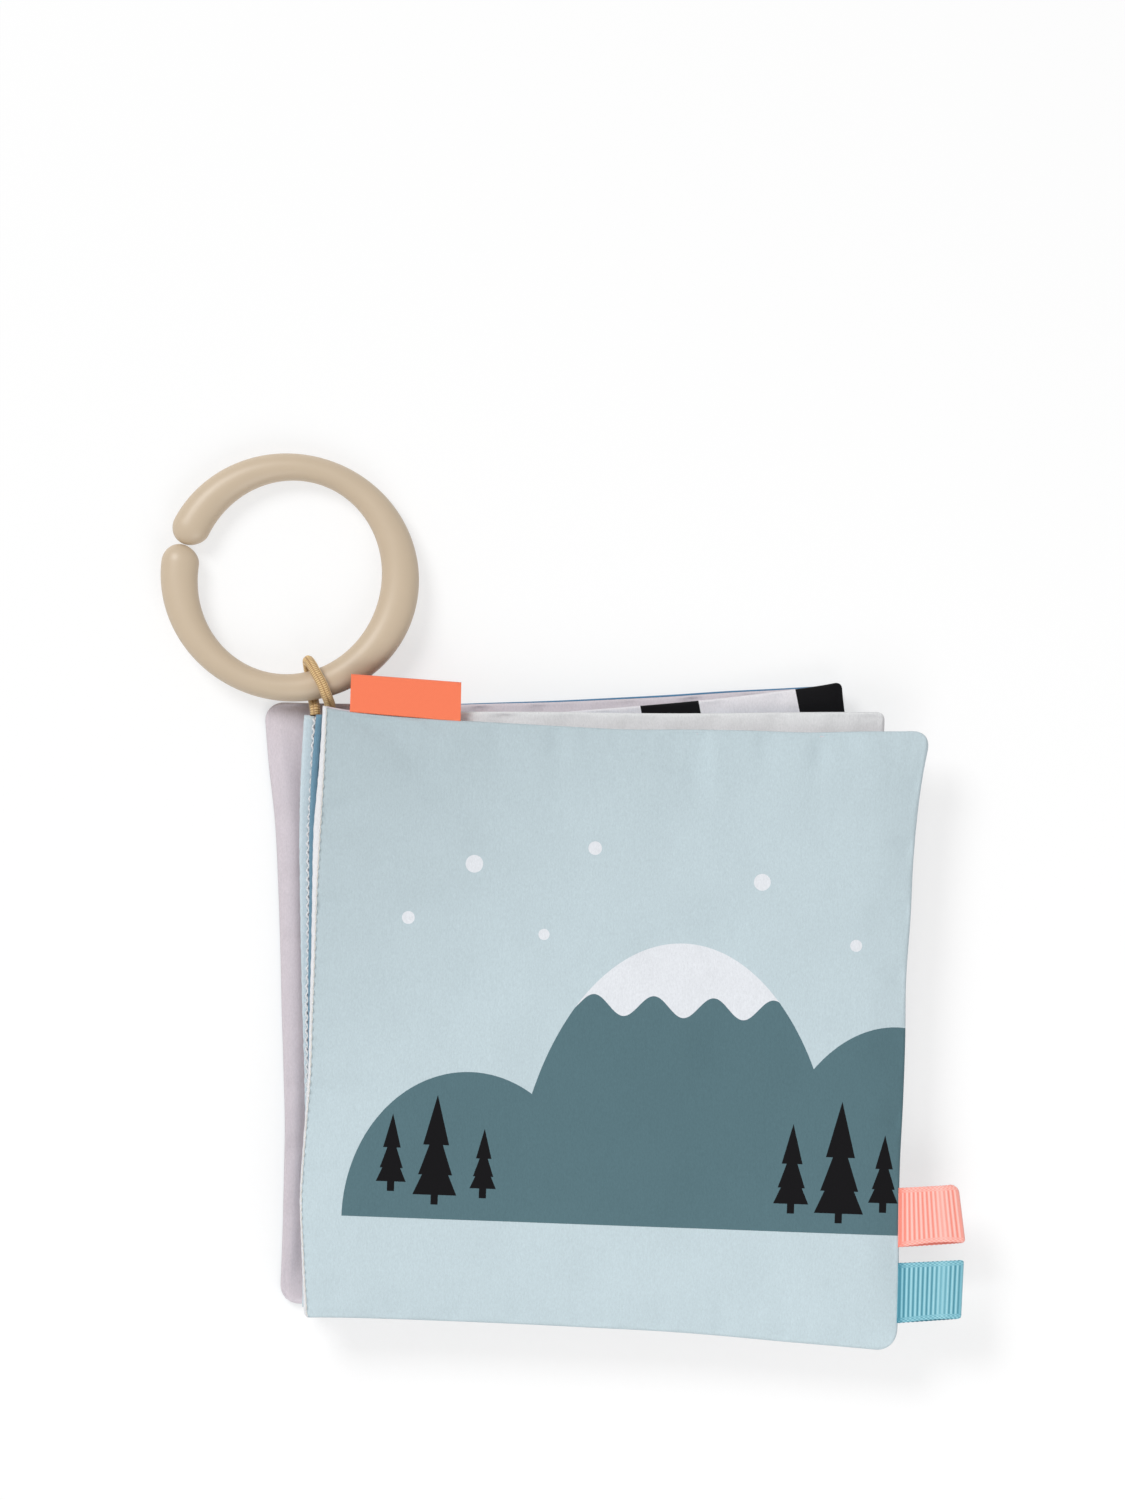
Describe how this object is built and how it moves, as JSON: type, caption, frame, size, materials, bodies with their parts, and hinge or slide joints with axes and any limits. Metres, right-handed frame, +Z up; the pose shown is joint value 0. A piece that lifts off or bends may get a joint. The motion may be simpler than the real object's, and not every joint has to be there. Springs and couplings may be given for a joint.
{
  "type": "soft book",
  "caption": "Closed padded fabric book with two covers and two leaves turning at a spine, two ribbon loops, a side label and a split plastic ring on an elastic cord loop.",
  "frame": {"origin": "middle of the closed book's footprint, on the table it lies on", "axes": "+Z up through the stack of leaves, +Y to the head of the book, +X from the spine to the open edge"},
  "size_m": [0.2014, 0.2236, 0.0177],
  "materials": {
    "pale_blue_fabric": "brushed",
    "lilac_fabric": "brushed",
    "blue_fabric": "brushed",
    "white_fabric": "brushed",
    "wadding": "lofted",
    "crinkle_film": "gloss",
    "overlock_thread": "twisted thread",
    "coral_twill": "twill",
    "rose_grosgrain": "ribbed",
    "teal_grosgrain": "ribbed",
    "elastic_cord": "braided",
    "ring_plastic": "satin"
  },
  "bodies": {
    "back_cover": {"back_cover_outer_fabric": "blue_fabric", "back_cover_inner_fabric": "lilac_fabric", "back_cover_wadding": "wadding"},
    "leaf_three": {"leaf_three_front_fabric": "white_fabric", "leaf_three_back_fabric": "pale_blue_fabric", "leaf_three_wadding": "wadding", "leaf_three_spine_edging": "pale_blue_fabric"},
    "leaf_two": {"leaf_two_front_fabric": "white_fabric", "leaf_two_back_fabric": "blue_fabric", "leaf_two_wadding": "wadding", "leaf_two_spine_edging": "blue_fabric"},
    "front_cover": {"front_cover_outer_fabric": "pale_blue_fabric", "front_cover_inner_fabric": "lilac_fabric", "front_cover_wadding": "wadding", "front_cover_crinkle_film": "crinkle_film", "front_cover_spine_overlock": "overlock_thread"},
    "cord_loop": {"elastic_cord_loop": "elastic_cord"},
    "ring": {"link_ring": "ring_plastic"},
    "label": {"side_label": "coral_twill"},
    "coral_ribbon": {"coral_ribbon_loop": "rose_grosgrain"},
    "teal_ribbon": {"teal_ribbon_loop": "teal_grosgrain"}
  },
  "joints": [
    {"name": "leaf_three_turn", "type": "hinge", "parent": "back_cover", "child": "leaf_three", "pos_m": [-0.06521, -0.02789, 0.0111], "axis": [0, 1, 0], "range_deg": [-180, 0]},
    {"name": "leaf_two_turn", "type": "hinge", "parent": "leaf_three", "child": "leaf_two", "pos_m": [-0.06231, 0.04671, 0.01335], "axis": [0.0105, 0.9999, 0], "range_deg": [-180, 0]},
    {"name": "front_cover_turn", "type": "hinge", "parent": "leaf_two", "child": "front_cover", "pos_m": [-0.06061, 0.04851, 0.0156], "axis": [0.0283, 0.9996, 0], "range_deg": [-180, 0]},
    {"name": "cord_bend", "type": "hinge", "parent": "leaf_three", "child": "cord_loop", "pos_m": [-0.06001, 0.04591, 0.0066], "axis": [1, 0, 0], "range_deg": [0, 15]},
    {"name": "ring_flip", "type": "hinge", "parent": "cord_loop", "child": "ring", "pos_m": [-0.0609, 0.05402, 0.0073], "axis": [0.9636, 0.2672, 0], "range_deg": [0, 60]},
    {"name": "label_bend", "type": "hinge", "parent": "front_cover", "child": "label", "pos_m": [-0.0394, 0.0468, 0.0156], "axis": [0.9963, -0.0864, 0], "range_deg": [0, 95], "stiffness_Nm_per_rad": 0.001},
    {"name": "coral_ribbon_bend", "type": "hinge", "parent": "front_cover", "child": "coral_ribbon", "pos_m": [0.08523, -0.07919, 0.0156], "axis": [0.0372, -0.9993, 0], "range_deg": [-60, 100], "stiffness_Nm_per_rad": 0.002},
    {"name": "teal_ribbon_bend", "type": "hinge", "parent": "front_cover", "child": "teal_ribbon", "pos_m": [0.08508, -0.09827, 0.0156], "axis": [0.0514, -0.9987, 0], "range_deg": [-60, 100], "stiffness_Nm_per_rad": 0.002}
  ]
}
